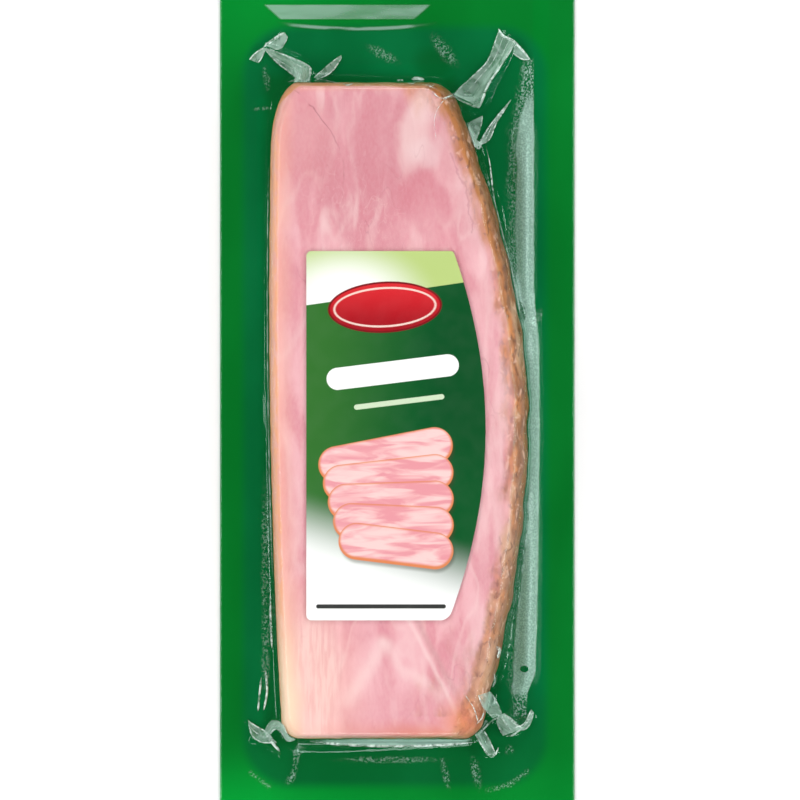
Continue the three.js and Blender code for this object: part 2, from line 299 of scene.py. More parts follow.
def loft(name, rings, open_below=False, smooth_angle=None, counts=FINE):
    """A skin over rings that are listed from the bottom up."""
    count = len(rings[0])
    faces = ring_faces(len(rings), count)
    faces += cap_faces((len(rings) - 1) * count, counts, upward=True)
    if not open_below:
        faces += cap_faces(0, counts, upward=False)
    return new_object(name, np.vstack(rings), faces, smooth_angle)


def curve_through(points, count):
    """A smooth path through points, as a Catmull-Rom curve. Any further columns are carried along."""
    points = np.array(points, float)
    padded = np.vstack([2 * points[0] - points[1], points, 2 * points[-1] - points[-2]])
    place = np.linspace(0, len(points) - 1, count)
    index = np.minimum(place.astype(int), len(points) - 2)
    t = (place - index)[:, None]
    a, b, c, d = (padded[index + k] for k in range(4))
    bend = 2 * a - 5 * b + 4 * c - d
    return 0.5 * (2 * b + (c - a) * t + bend * t**2 + (3 * b - a - 3 * c + d) * t**3)


# The bacon

def outward(ring):
    """The way out of a ring at each of its points, level and one long."""
    run = np.roll(ring, -1, axis=0)[:, :2] - np.roll(ring, 1, axis=0)[:, :2]
    return np.column_stack([run[:, 1], -run[:, 0]]) / np.hypot(*run.T)[:, None]


def foot_rings():
    """The slab's lowest levels, where it draws in a little towards its foot."""
    levels = [(0, 0, 1), (0.8, 1, 0.6), (2.5, 2.5, 1 / 4), (5, 5, 1 / 12)]
    return [
        at_height(slab_outline(0, foot=FOOT_INSET * inset_share, z=lump_height), BACKING + height)
        for height, lump_height, inset_share in levels
    ]


def make_slab():
    """The slab, with a lumpy rind that is roughest on the right, and a nearly flat cut face."""
    rings = foot_rings() + slab_shell(0.2, 22, 30)
    points = np.vstack(rings)
    x, y, z = points.T
    on_rind = 1 - smooth(z, FACE_Z - 1.2, FACE_Z + 0.1)
    rough_right = smooth(x, 8, 26) * 0.6 + 0.4
    away = np.vstack([outward(ring) for ring in rings])
    push = lumps(points, RIND_LUMPS) * on_rind * rough_right * 0.6
    moved = points + np.column_stack([away, 0 * z + 0.35]) * push[:, None]
    moved[:, 2] += (1 - on_rind) * lumps(points, FACE_LUMPS)
    foot_count = len(rings[0])
    moved[:foot_count] = points[:foot_count]
    moved[:, 2] = np.maximum(moved[:, 2], BACKING)
    return loft("bacon", np.split(moved, len(rings)))


# The clear film

def roll_axis(y):
    """Where the middle of the slack roll lies, at each y."""
    lower = ROLL_LOWER_X - ROLL_BOW * (y - BELLY_Y) ** 2
    return lower + (ROLL_UPPER_X - lower) * smooth(y, *ROLL_BEND)


def roll_height(x, y):
    across = np.exp(-(((x - roll_axis(y)) / ROLL_WIDTH) ** 2))
    rise = smooth(y, ROLL_BOTTOM, ROLL_BOTTOM + ROLL_FADE)
    fade = 1 - smooth(y, ROLL_TOP - ROLL_FADE, ROLL_TOP)
    neck = 1 - ROLL_NECK_DEPTH * np.exp(-(((y - ROLL_NECK_Y) / ROLL_NECK_LENGTH) ** 2))
    return ROLL_HEIGHT * across * rise * fade * neck


def fall_ring(slab_ring, wall_ring, share):
    """The film between the slab, at share 0, and the pocket's wall, at share 1."""
    start = slab_ring[:, :2]
    way = wall_ring - start
    length = np.hypot(way[:, 0], way[:, 1])
    x, y = (start + way * share).T
    sideways = np.abs(way[:, 0]) / length
    end_fall = np.where(start[:, 1] > 0, FALL["top"], FALL["bottom"])
    side_fall = np.where(start[:, 0] > 0, FALL["right"], FALL["left"])
    distance = length * share
    fall = np.exp(-distance / (end_fall + (side_fall - end_fall) * sideways))
    drop = (slab_ring[:, 2] - FLAT) * fall * (1 - share)
    cuff_shape = np.exp(-(((distance - CUFF_REACH) / CUFF_WIDTH) ** 2))
    cuff = np.where(start[:, 1] < 0, CUFF_HEIGHT * cuff_shape * (1 - sideways) ** 2, 0)
    swell = POCKET_SWELL * (1 - smooth(share, 0.9, 1.0))
    return np.column_stack([x, y, FLAT + swell + drop + cuff + roll_height(x, y)])


def pleat_height(points):
    """The height of the pleats' ridges over each point."""
    steps, margin, sunk = 26, 3, 0.2
    section = np.array(PLEAT_SECTION)
    height = np.zeros(len(points))
    for crest in PLEATS:
        path = curve_through(crest, steps)
        low = path[:, :2].min(0) - margin
        high = path[:, :2].max(0) + margin
        near = np.all((points[:, :2] > low) & (points[:, :2] < high), axis=1).nonzero()[0]
        best = np.full(len(near), 1e9)
        for a, b in zip(path[:-1], path[1:]):
            run = b[:2] - a[:2]
            offset = points[near, :2] - a[:2]
            along = np.clip(offset @ run / (run @ run), 0, 1)
            away = offset - along[:, None] * run
            distance = np.hypot(away[:, 0], away[:, 1])
            side = np.sign(run[0] * away[:, 1] - run[1] * away[:, 0])
            top, half = (a[k] + along * (b[k] - a[k]) for k in (2, 3))
            rise = np.interp(side * distance / half, section[:, 0], section[:, 1])
            closer = distance < best
            best[closer] = distance[closer]
            now = (FLAT - sunk + rise * top)[closer]
            held = near[closer]
            height[held] = np.maximum(height[held], np.where(rise[closer] > 0, now, 0))
    return height


def film_rings():
    """The film from the pack's edge over the seal and the pocket, and up over the slab."""
    wall_inset, fall_steps = 2.4, 48
    edge = rounded_box(PACK)
    rim = rounded_box(PACK, 0.2)
    wall = rounded_box(POCKET)
    over = slab_shell(SLAB_TO_FILM, 16, 26)
    rings = [at_height(edge, BACKING), at_height(edge, FLAT - 0.15), at_height(rim, FLAT)]
    rings += [at_height(rim + (wall - rim) * share, FLAT) for share in (0.3, 0.6, 0.85, 1)]
    rings += [at_height(rounded_box(POCKET, wall_inset / 2), FLAT + POCKET_SWELL / 2)]
    inner = rounded_box(POCKET, wall_inset)
    shares = np.linspace(1, 1 / fall_steps, fall_steps) ** 1.4
    return rings + [fall_ring(over[0], inner, share) for share in shares] + over


def make_film():
    """The film's skin, raised over the pleats and finely crumpled in the pocket."""
    rings = film_rings()
    points = np.vstack(rings)
    inside = pleat_height(points)
    lifted = smooth(inside - points[:, 2], -0.1, 0.4)
    points[:, 2] = np.maximum(points[:, 2], inside)
    raised = smooth(points[:, 2], FLAT + 0.02, FLAT + 0.25)
    on_face = smooth(points[:, 2], FACE_Z - 3, FACE_Z)
    points[:, 2] += lumps(points, FILM_CRUMPLES) * raised * (1 - 0.9 * on_face) * (1 + lifted)
    return loft("clear_film_skin", np.split(points, len(rings)), open_below=True)


class Ground:
    """The film's upper surface, to lay creases and folds on."""

    def __init__(self, film):
        mesh = film.data
        places = [v.co * 1000 for v in mesh.vertices]
        self.tree = BVHTree.FromPolygons(places, [tuple(p.vertices) for p in mesh.polygons])

    def heights(self, places):
        down = Vector((0, 0, -1))
        hits = [self.tree.ray_cast(Vector((x, y, 100)), down)[0] for x, y in places]
        return np.array([hit.z if hit else FLAT for hit in hits])


def grid_faces(rows, columns):
    a = (np.arange(rows - 1)[:, None] * columns + np.arange(columns - 1)).ravel()
    return np.column_stack([a, a + columns, a + columns + 1, a + 1]).tolist()


# A crease's section, as how far aside and how high in half widths, and the length of its steps.
RIDGE = [(-1, 0), (-0.45, 0.55), (0, 0.8), (0.45, 0.55), (1, 0)]
CREASE_STEP = 0.6


def sweep(ground, points, half_width, lift=0.02, taper=0.15):
    """One crease or painted highlight laid on the film along a path, as points and faces."""
    points = np.array(points, float)
    length = np.hypot(*np.diff(points, axis=0).T).sum()
    count = max(6, int(length / CREASE_STEP))
    path = curve_through(points, count)
    along = np.gradient(path, axis=0)
    along /= np.hypot(along[:, 0], along[:, 1])[:, None]
    across = np.column_stack([-along[:, 1], along[:, 0]])
    share = np.linspace(0, 1, count)
    thick = np.minimum(1, np.minimum(share, 1 - share) / taper + 0.08)
    rows = []
    for aside, rise in RIDGE:
        place = path + across * (aside * half_width * thick)[:, None]
        z = ground.heights(place) + lift + rise * half_width * thick
        rows.append(np.column_stack([place, z]))
    return np.stack(rows, axis=1).reshape(-1, 3), grid_faces(count, len(RIDGE))


def join_strips(name, strips):
    points, faces, start = [], [], 0
    for strip_points, strip_faces in strips:
        points.append(strip_points)
        faces += [tuple(start + i for i in face) for face in strip_faces]
        start += len(strip_points)
    return new_object(name, np.vstack(points), faces)


# Where layers of the film lie on each other: two edges of each fold, and how many threads, thin painted
# highlights, show in it.
FOLDS = [
    # Upper right: the strap, its flared top, and the fold beside the slab's corner.
    ([(31.6, 114.8), (28.2, 105.6), (24.2, 101.2), (19.2, 96.6), (17.6, 94.6)],
     [(36.4, 110.4), (33, 104.8), (28.2, 98), (26.4, 93.4), (25.4, 90.4)], 2),
    ([(36.2, 109.4), (37, 110.4), (38.6, 108.8)], [(35.8, 107.6), (38.6, 105.8), (41, 105.6)], 0),
    ([(22.6, 86.4), (22.2, 84), (23.6, 79.2)], [(26.4, 88.2), (26, 85.4), (24.4, 80)], 0),
    ([(23.4, 81.2), (24.2, 78.2), (26, 80.6), (28.8, 85.2), (35, 93)],
     [(24.6, 80.6), (26.6, 79.6), (28.8, 81.2), (31, 86.4), (35.4, 93.2)], 1),
    # Upper left: the strap, its wing, and the slack fold on its right.
    ([(-41.2, 109.2), (-38.2, 108.2), (-33.2, 106.2), (-27.2, 103.4), (-27.2, 100), (-28, 98.2)],
     [(-41.2, 108.8), (-37.4, 104.8), (-34.6, 102.6), (-31.8, 100.2), (-31.6, 99.2), (-32, 98.2)], 2),
    ([(-40.6, 109.8), (-37.6, 112.2), (-34.9, 114)], [(-38.4, 108.8), (-35.9, 109.2), (-34, 112.6)], 0),
    ([(-45.9, 105.6), (-44, 107.6), (-41.2, 109.4)], [(-43.2, 104.6), (-42.2, 106), (-41, 108.4)], 0),
    ([(-25.8, 100), (-22, 103.4), (-17.4, 107)], [(-24.6, 99.4), (-20.4, 101.8), (-17.2, 106.2)], 0),
    # Lower left: a wing, and a zigzag up to the slab's corner.
    ([(-46.3, -99.4), (-43.8, -101.2), (-40.6, -103), (-38.6, -105)],
     [(-46, -101.6), (-44.6, -104.6), (-41.6, -106.2), (-37.4, -106.2)], 1),
    ([(-41.4, -103.2), (-39, -99.6), (-35.4, -100.2), (-33.8, -103.6), (-31.4, -104.8)],
     [(-40, -104.4), (-38, -102), (-36, -103), (-34.4, -105.6), (-32, -105.6)], 1),
    # Lower right: two flat folds in a row, a thin one out to the roll's foot, and a hooked one below.
    ([(25, -91), (26.6, -94.8), (29.6, -98.4)], [(28.6, -90), (30.4, -93), (32.4, -97)], 1),
    ([(31.4, -97.4), (31, -100), (32.8, -104.2)], [(33.2, -97), (36.2, -100.2), (39.2, -101.8)], 1),
    ([(36.4, -101.4), (39.4, -100.2), (41.6, -96)], [(37.4, -102.8), (40.6, -101.4), (42.4, -97)], 0),
    ([(24, -103.4), (26.2, -107), (28.6, -110.2)], [(27, -102.8), (28.6, -105.6), (30.4, -109.6)], 0),
]

# Single sharp creases, and painted highlights laid as white creases along the slab's top edge and on its
# rind: points along each, and half its width.
CREASES_AND_HIGHLIGHTS = [
    ([(31.3, 115.4), (32.8, 113), (36.5, 110.9), (41.8, 104.9)], 0.4),
    ([(17.4, 94.4), (14.3, 92.3), (12.3, 89.4), (11.4, 85.6), (12, 80.4)], 0.12),
    ([(10.2, 95.6), (13.4, 93), (17, 94.2)], 0.14),
    ([(17, 94.2), (20.6, 92), (25.4, 90.4)], 0.3),
    ([(25.4, 90.4), (26.6, 93.4), (28.4, 98), (32.6, 104)], 0.3),
    ([(24.1, 83), (23.8, 79.2), (25.4, 78), (26.2, 80.4)], 0.3),
    ([(-41.4, 109.6), (-38.4, 111.8), (-35, 114.2)], 0.42),
    ([(-33.2, 105.8), (-31.4, 102.6), (-30.6, 100.2)], 0.26),
    ([(-27.2, 103.4), (-27.2, 100.4), (-28.4, 98.4)], 0.26),
    ([(-33.4, 106.2), (-30.4, 104.8), (-27.4, 103.2)], 0.22),
    ([(-31.4, 101.6), (-29.8, 99.4), (-28.6, 98)], 0.26),
    ([(-30.6, 100.4), (-32.2, 99), (-34, 98.7)], 0.2),
    ([(-40.8, -103.4), (-39, -106), (-36.3, -109.2)], 0.45),
    ([(24.5, -104), (26.6, -107.4), (28.4, -110.2), (30.4, -109.9), (31.4, -107.8)], 0.36),
    ([(33.6, -104.4), (36, -103.8), (38.6, -101.8), (40.2, -100.2), (42, -96.8)], 0.32),
    ([(31.8, -97.6), (29, -99.8), (26.6, -102.2), (24.4, -103.6)], 0.3),
    ([(32.2, -97.8), (33.8, -100.8), (36, -103.6)], 0.26),
    ([(32.4, -97.2), (35.2, -98.8), (38, -101.4)], 0.3),
    ([(-42.2, -86), (-42.8, -92), (-43.2, -96.6)], 0.3),
    ([(-40.8, -84), (-40.4, -90.4), (-41.4, -96.2)], 0.34),
    ([(-39.4, -60), (-39.3, -69), (-38.9, -77)], 0.3),
    ([(30.6, -75.8), (31.6, -77.4), (31, -79.8)], 0.5),
    ([(30, -84.4), (30.4, -86.8), (29.4, -88.8)], 0.4),
    ([(20.6, -90.4), (23.6, -95), (25, -99.6)], 0.16),
    ([(27, -96), (26, -98.4), (24.4, -100)], 0.2),
    ([(4.4, 99.5), (6.4, 99.8), (8.4, 99.4)], 0.5),
    ([(-0.2, 99.1), (1.9, 99.2)], 0.32),
    ([(3.2, 98), (4.4, 97.5), (5.6, 98)], 0.22),
    ([(9.2, 97.3), (11.2, 96.3)], 0.22),
    ([(-16.8, 97.6), (-15.3, 97.1), (-13.6, 97.8)], 0.26),
    ([(-25.8, 99), (-23.4, 99.4), (-20.8, 98.6), (-18, 97.7)], 0.15),
]


def slab_creases_and_highlights():
    """The long light lines down the slab's left, down its upper right, and below it: creases and painted
    highlights of the film's edge.
    """
    left_y = np.linspace(72, -54, 20)
    right_y = np.linspace(79, 22, 14)
    right_x = slab_right(right_y) + 0.9 + 3.2 * smooth(right_y, 58, 80)
    cuff_x = np.linspace(-27, 24.5, 9)
    cuff_y = CUFF_Y - 1.2 + CUFF_BOW * cuff_x**2
    return [
        (np.column_stack([slab_left(left_y) - 0.9, left_y]), 0.2),
        (np.column_stack([right_x, right_y]), 0.22),
        (np.column_stack([cuff_x, cuff_y]), 0.4),
    ]


def between(first, second, share, count=24):
    """A path that lies between two edges, at a share of the way from the first to the second."""
    return curve_through(first, count) * (1 - share) + curve_through(second, count) * share


def make_creases_and_highlights(ground):
    """The thin bright creases, where the film is folded sharply, and the threads in the folds, partly
    painted highlights where the film catches the lamps.
    """
    strips = [sweep(ground, points, half_width) for points, half_width in CREASES_AND_HIGHLIGHTS + slab_creases_and_highlights()]
    for first, second, threads in FOLDS:
        for share in np.linspace(0, 1, threads + 2):
            half_width = 0.2 if share in (0, 1) else 0.1
            strips.append(sweep(ground, between(first, second, share), half_width, 0.16, 0.12))
    return join_strips("film_creases_and_highlights", strips)


def make_folds(ground):
    """The folded layers, as patches on the film between each fold's two edges."""
    strips = []
    columns, rows = 13, 28
    for first, second, _ in FOLDS:
        ways = [between(first, second, share, rows) for share in np.linspace(0, 1, columns)]
        place = np.stack(ways, axis=1).reshape(-1, 2)
        rise = FOLD_RISE + lumps(np.column_stack([place, 0 * place[:, 0]]), FOLD_LUMPS)
        z = ground.heights(place) + np.maximum(rise, 0.05)
        strips.append((np.column_stack([place, z]), grid_faces(rows, columns)))
    return join_strips("film_folds", strips)


# The label

def label_outline(shrink):
    return outline(
        left=lambda y: LABEL["left"],
        right=lambda y: LABEL["belly"] - LABEL["bow"] * (y - LABEL["belly_y"]) ** 2,
        top=LABEL["top"],
        bottom=LABEL["bottom"],
        corners=LABEL_CORNERS,
        shrink=shrink,
        counts=COARSE,
    )


def make_label():
    """The sticker, draped over the film's crown."""
    def draped(shrink, lift):
        points = label_outline(shrink)
        ring = at_height(points, FACE_Z + SLAB_TO_FILM + lift)
        ring[:, 2] += face_rise(*points.T)
        return ring

    shrinks = np.linspace(0, 0.97, 12)
    under = [draped(shrink, LABEL_GAP) for shrink in shrinks[::-1]]
    over = [draped(shrink, LABEL_GAP + LABEL_THICKNESS) for shrink in shrinks]
    return loft("printed_label", under + over, smooth_angle=40, counts=COARSE)


# Materials

# Colours are written as 0 to 255 screen values.
LEAN = (224, 150, 160)
DEEP_LEAN = (211, 134, 146)
PALE_LEAN = (240, 184, 190)
FAT = (249, 219, 216)
CREAM = (252, 217, 184)
PRINT_WHITE = (252, 253, 251)


def as_light(colour):
    """A colour as the shaders take it, in linear light."""
    share = np.array(colour) / 255
    light = np.where(share <= 0.04045, share / 12.92, ((share + 0.055) / 1.055) ** 2.4)
    return (*light, 1.0)


class Value:
    """One number in a shader, with plain arithmetic."""

    def __init__(self, shader, socket):
        self.shader = shader
        self.socket = socket

    def op(self, name, *others):
        return self.shader.math(name, self, *others)

    __add__ = __radd__ = partialmethod(op, "ADD")
    __sub__ = partialmethod(op, "SUBTRACT")
    __mul__ = __rmul__ = partialmethod(op, "MULTIPLY")
    __truediv__ = partialmethod(op, "DIVIDE")
    __pow__ = partialmethod(op, "POWER")
    at_least = partialmethod(op, "MAXIMUM")
    at_most = partialmethod(op, "MINIMUM")
    size = partialmethod(op, "ABSOLUTE")

    def __rsub__(self, other):
        return self * -1 + other

    def ramp(self, start, end, low=0.0, high=1.0):
        """low where the value is at start, high at end, and smooth between."""
        ends = {"From_Min": start, "From_Max": end, "To_Min": low, "To_Max": high}
        node = self.shader.node("MapRange", interpolation_type="SMOOTHSTEP", Value=self, **ends)
        return Value(self.shader, node.outputs["Result"])

    def near(self, middle, far, close=0.0):
        """1 where the value is within close of middle, and 0 where it is further off than far."""
        return (self - middle).size().ramp(far, close)


class Shader:
    """A material whose colours and relief are worked out from the place on the object, in millimetres."""

    def __init__(self, name):
        self.material = bpy.data.materials.new(name)
        self.material.use_nodes = True
        self.nodes = self.material.node_tree.nodes
        self.links = self.material.node_tree.links
        self.nodes.clear()
        self.output = self.node("OutputMaterial")
        self.surface = self.node("BsdfPrincipled")
        self.links.new(self.surface.outputs[0], self.output.inputs[0])
        scaled = self.node("VectorMath", operation="SCALE", Scale=1000)
        self.links.new(self.node("TexCoord").outputs["Object"], scaled.inputs[0])
        self.place = Value(self, scaled.outputs[0])
        split = self.node("SeparateXYZ", Vector=self.place)
        self.x, self.y, self.z = (Value(self, socket) for socket in split.outputs)

    def feed(self, socket, value):
        if isinstance(value, Value):
            self.links.new(value.socket, socket)
        elif socket.type == "RGBA":
            socket.default_value = as_light(value)
        else:
            socket.default_value = value

    def fill(self, node, given):
        """Names in small letters are a node's settings, and the others its inputs."""
        for name, value in given.items():
            if name.islower():
                setattr(node, name, value)
            else:
                self.feed(node.inputs[name.replace("_", " ")], value)

    def node(self, kind, **given):
        node = self.nodes.new("ShaderNode" + kind)
        self.fill(node, given)
        return node

    def math(self, name, *values):
        node = self.node("Math", operation=name)
        for socket, value in zip(node.inputs, values):
            self.feed(socket, value)
        return Value(self, node.outputs[0])

    def noise(self, size, detail=3.0, roughness=0.5, distortion=0.0, seed=0.0):
        """Noise from 0 to 1 with lumps of the given size along x, y and z."""
        shift = (seed * 7.1, seed * 3.3, seed * 5.7)
        stretch = self.node("Mapping", Vector=self.place, Location=shift, Scale=[1 / s for s in size])
        place = Value(self, stretch.outputs[0])
        node = self.node("TexNoise", Vector=place, Scale=1.0, Detail=detail)
        self.fill(node, {"Roughness": roughness, "Distortion": distortion})
        return Value(self, node.outputs["Fac"])

    def mix(self, share, first, second):
        node = self.node("Mix", data_type="RGBA")
        for index, value in ((0, share), (6, first), (7, second)):
            self.feed(node.inputs[index], value)
        return Value(self, node.outputs[2])

    def layered(self, colour, layers):
        """A colour with others laid over it in turn. layers is (share, colour) pairs."""
        for share, upper in layers:
            colour = self.mix(share, colour, upper)
        return colour

    def local(self, x, y, turn, bend=None):
        """Places measured from x, y along axes turned by some degrees, and moved by bend if given."""
        angle = math.radians(turn)
        across = self.x - x
        up = self.y - y
        if bend is not None:
            across = across + bend
            up = up + bend
        along = across * math.cos(angle) + up * math.sin(angle)
        aside = up * math.cos(angle) - across * math.sin(angle)
        return along, aside

    def spot(self, x, y, half_x, half_y, turn=0, soft=0.3, bend=None):
        """1 inside an ellipse and 0 outside, with an edge that is soft over that share of its radius."""
        along, aside = self.local(x, y, turn, bend)
        radius = ((along / half_x) ** 2 + (aside / half_y) ** 2) ** 0.5
        return radius.ramp(1 + soft / 2, 1 - soft / 2)

    def off_line(self, x, y, half_length, turn, bend):
        """How far each place is from a straight line whose middle is x, y."""
        along, aside = self.local(x, y, turn, bend)
        beyond = (along.size() - half_length).at_least(0.0)
        return (beyond**2 + aside**2) ** 0.5

    def bar(self, x, y, half_x, half_y, turn=0, soft=0.12):
        """1 inside a bar with round ends and 0 outside."""
        return self.off_line(x, y, half_x - half_y, turn, None).ramp(half_y + soft, half_y - soft)

    def line(self, x0, y0, x1, y1, width, bend):
        """1 on a straight line between two points, fading to 0 at width from it."""
        half_length = math.hypot(x1 - x0, y1 - y0) / 2
        turn = math.degrees(math.atan2(y1 - y0, x1 - x0))
        return self.off_line((x0 + x1) / 2, (y0 + y1) / 2, half_length, turn, bend).ramp(width, 0.0)

    def bump(self, height, depth):
        """Relief of the given depth in millimetres."""
        node = self.node("Bump", Strength=1.0, Distance=depth / 1000, Height=height)
        self.links.new(node.outputs[0], self.surface.inputs["Normal"])

    def set(self, **inputs):
        self.fill(self.surface, inputs)

    def see_through(self, cover):
        """Lets what is behind show, apart from the share that cover gives."""
        mix = self.node("MixShader")
        self.feed(mix.inputs[0], cover)
        self.links.new(self.node("BsdfTransparent").outputs[0], mix.inputs[1])
        self.links.new(self.surface.outputs[0], mix.inputs[2])
        self.links.new(mix.outputs[0], self.output.inputs[0])

    def gloss(self, straight):
        """The share that a thin film reflects: straight when seen from straight on, and all edge on."""
        facing = Value(self, self.node("LayerWeight", Blend=0.5).outputs["Facing"])
        return facing**4.5 * (1 - straight) + straight


def right_edge(s):
    """Where the slab's right side lies, at each point's y."""
    above = (s.y - BELLY_Y).at_least(0.0)
    below = (BELLY_Y - s.y).at_least(0.0)
    return BELLY_REACH - belly_bow(above, *BELLY_UPPER) - belly_bow(below, *BELLY_LOWER)


# The bacon's colours

class Bacon(Shader):
    """The bacon's material, with what several of its layers share."""

    def __init__(self):
        super().__init__("cooked_bacon")
        self.warp = (self.noise((9, 14, 9), detail=2) - 0.5) * 7
        self.streaks = self.noise((7, 24, 7), detail=4, distortion=0.5)
        self.clouds = self.noise((16, 34, 16), distortion=0.5, seed=2)
        self.grain = self.noise((0.7, 1.6, 0.7), seed=3)
        self.spots = self.noise((2.8, 5.5, 3.6), detail=4, roughness=0.55, distortion=0.5, seed=9)
        self.blotches = self.noise((6, 12, 7), seed=10)
        self.from_left = self.x - slab_left(self.y) + self.warp * 0.15
        self.from_right = right_edge(self) - self.x
        self.low_down = self.y.ramp(-40, -95)


def marbling(s):
    """Pale streaks, deeper clouds and veins of fat, with more fat under the rind on the right."""
    veins = s.noise((15, 44, 15), detail=2, distortion=0.5, seed=4).near(0.5, 0.05)
    under_rind = s.from_right.ramp(15, 7) * s.noise((6, 26, 6), detail=4, seed=5).ramp(0.35, 0.6)
    return [
        (s.streaks.ramp(0.38, 0.66) * 0.8, PALE_LEAN),
        (s.clouds.ramp(0.48, 0.68) * 0.5, DEEP_LEAN),
        (veins * 0.22, FAT),
        (under_rind * 0.28, FAT),
    ]


def upper_patches(s):
    """Patches of fat and lean that stand out on the upper half of the cut face."""
    lobe = s.spot(9, 60.5, 7.4, 11, 14, 0.5, s.warp * 1.3) * s.y.ramp(48, 66, 0.25, 1.0)
    streaked = s.spot(-14, 58, 12, 5, 12, 0.8, s.warp) * s.streaks.ramp(0.4, 0.6)
    return [
        (s.spot(-6, 80, 9, 15, -12, 0.9, s.warp) * 0.5, DEEP_LEAN),
        (s.spot(5.8, 84, 4.6, 14, -10, 0.9, s.warp) * 0.66, FAT),
        (s.spot(8.4, 75.6, 5.2, 5, 0, 0.8, s.warp) * 0.55, (244, 216, 216)),
        (s.spot(9.8, 90.5, 5, 4, 20, 1.2, s.warp) * 0.5, FAT),
        (lobe * 0.8, (215, 130, 143)),
        (s.spot(-8, 66, 5, 11, 10, 1.2, s.warp) * 0.4, (214, 134, 146)),
        (streaked * 0.5, FAT),
        (s.spot(-23.7, 94, 1.3, 6, 0, 0.8) * 0.5, FAT),
        (s.spot(-28, 82, 7, 17, 14, 0.9, s.warp) * 0.6, (222, 146, 152)),
        (s.spot(-20, 66, 4, 16, 16, 0.9, s.warp) * 0.35, DEEP_LEAN),
    ]


def lower_patches(s):
    """Threads of fat on the left, a fork of fat in the middle, and a groove on its right."""
    threads = s.noise((0.9, 9, 0.9), detail=4, distortion=0.4, seed=6).ramp(0.38, 0.62)
    threaded = s.spot(-24.6, -86, 6.5, 21, 3, 0.7, s.warp)
    waver = s.warp * 0.2
    return [
        (threaded * (threads * 0.5 + 0.25), FAT),
        (s.line(-5.4, -76, -15, -93, 4, s.warp) * 0.5, FAT),
        (s.line(-5.4, -76, 12, -92, 3, s.warp) * 0.4, FAT),
        (s.spot(-3, -97, 17, 7, 4, 0.8, s.warp) * 0.4, LEAN),
        (s.line(5, -66, 21, -96, 1.8, waver) * 0.55, (206, 150, 152)),
        (s.line(3.6, -68, 18.6, -97, 1.2, waver) * 0.45, FAT),
    ]


def seams(s):
    """The dark seam at the upper left, a short one on the right, and fine cracks."""
    waver = (s.noise((3, 3, 3), seed=24) - 0.5) * 2.4
    broken = s.noise((4, 5, 4), detail=1, seed=25).ramp(0.36, 0.56, 0.15, 1.0)
    down = ((96.5 - s.y) / 34).at_least(0.0).at_most(1.0)
    seam_x = (down * 1.95).op("SINE") ** 0.8 * 17 - 33.4
    seam = (s.x - seam_x + s.warp * 0.12 + waver).near(0, 0.34, 0.08)
    seam = seam * s.y.ramp(97, 95) * s.y.ramp(60, 84, 0.15, 1.0) * broken
    cracks = s.noise((8, 26, 8), detail=1, distortion=0.5, seed=8).near(0.5, 0.004)
    seam = seam.at_least(cracks * s.clouds.ramp(0.5, 0.62) * 0.4)
    for ends in [(16.4, 76, 21, 65), (21, 65, 23.4, 52)]:
        seam = seam.at_least(s.line(*ends, 0.5, waver) * 0.5)
    return seam


def fine_marks(s):
    """Seams, painted hairlines of wet sheen and grain, with the upper part of the face a little darker."""
    sheen_hairlines = s.noise((5, 9, 5), detail=2, distortion=1.0, seed=21).near(0.5, 0.012)
    return [
        (seams(s) * 0.7, (170, 96, 110)),
        # Painted highlights: fine hairlines of wet sheen, in the fat's colour.
        (sheen_hairlines * s.spot(-14, 62, 17, 17, 0, 0.8) * 0.2, FAT),
        (s.grain.ramp(0.3, 0.7) * 0.1, FAT),
        (s.y.ramp(40, 75) * 0.18, (190, 120, 128)),
    ]


def warm_edge(s):
    """The face's edge: cream and orange down the left, and browned at both ends."""
    cream = s.mix(s.low_down, (243, 178, 148), CREAM)
    cream_share = (s.from_left + s.warp * 0.3).ramp(9, 1.5) * s.low_down.ramp(0, 1, 0.5, 0.95)
    knobs = s.noise((2, 4, 2), detail=2, seed=26).ramp(0.35, 0.6, 0.25, 1.0)
    rim = s.from_left.near(1.6, 1.6, 0.4) * knobs * s.y.ramp(-84, -56) * s.y.ramp(90, 76)
    glow = (s.y + s.warp * 0.3).ramp(-97.5, -103.5) * s.x.ramp(-26, 20, 0.15, 0.75)
    return [
        (s.spot(-31, -92, 17, 30, 0, 1.2) * 0.4, (252, 200, 180)),
        (cream_share, cream),
        (rim * 0.7, (242, 168, 112)),
        ((s.y + s.warp * 0.2).ramp(94.4, 97.4) * 0.6, (236, 164, 140)),
        (glow.at_least(s.spot(24, -99, 9, 7, 0, 1.3, s.warp) * 0.8), (226, 134, 100)),
    ]


def brown_rind(s):
    """The smoked rind on the right, darker in its upper half, and spotted."""
    dark_spots = s.noise((1.8, 3, 1.8), distortion=0.6, seed=22).ramp(0.54, 0.66)
    pale_spots = s.noise((2.4, 3.6, 2.4), distortion=0.6, seed=23).ramp(0.58, 0.7)
    return s.layered((200, 126, 66), [
        (s.spots.ramp(0.34, 0.6), (142, 86, 44)),
        (s.blotches.ramp(0.52, 0.7) * 0.75, (218, 178, 136)),
        (s.y.ramp(20, 60) * 0.55, (140, 84, 34)),
        (s.y.ramp(10, -40) * s.blotches.ramp(0.4, 0.6, 0.25, 0.6), (200, 152, 122)),
        (s.z.ramp(18.6, 20.2) * s.y.ramp(-10, 30) * 0.4, (216, 140, 72)),
        (s.from_right.ramp(3.2, 0.6) * 0.45, (104, 58, 24)),
        (dark_spots * 0.6, (88, 46, 24)),
        (pale_spots * 0.6, (238, 196, 172)),
    ])


def tan_side(s):
    """The lighter browned meat of the left side and both ends."""
    return s.layered((246, 184, 142), [
        (s.spots.ramp(0.3, 0.7), (224, 140, 90)),
        (s.blotches.ramp(0.5, 0.66) * 0.5, (240, 170, 148)),
        (s.y.ramp(90, 96) * 0.55, (200, 124, 82)),
        (s.low_down * s.x.ramp(0, -24) * 0.7, (244, 204, 164)),
    ])


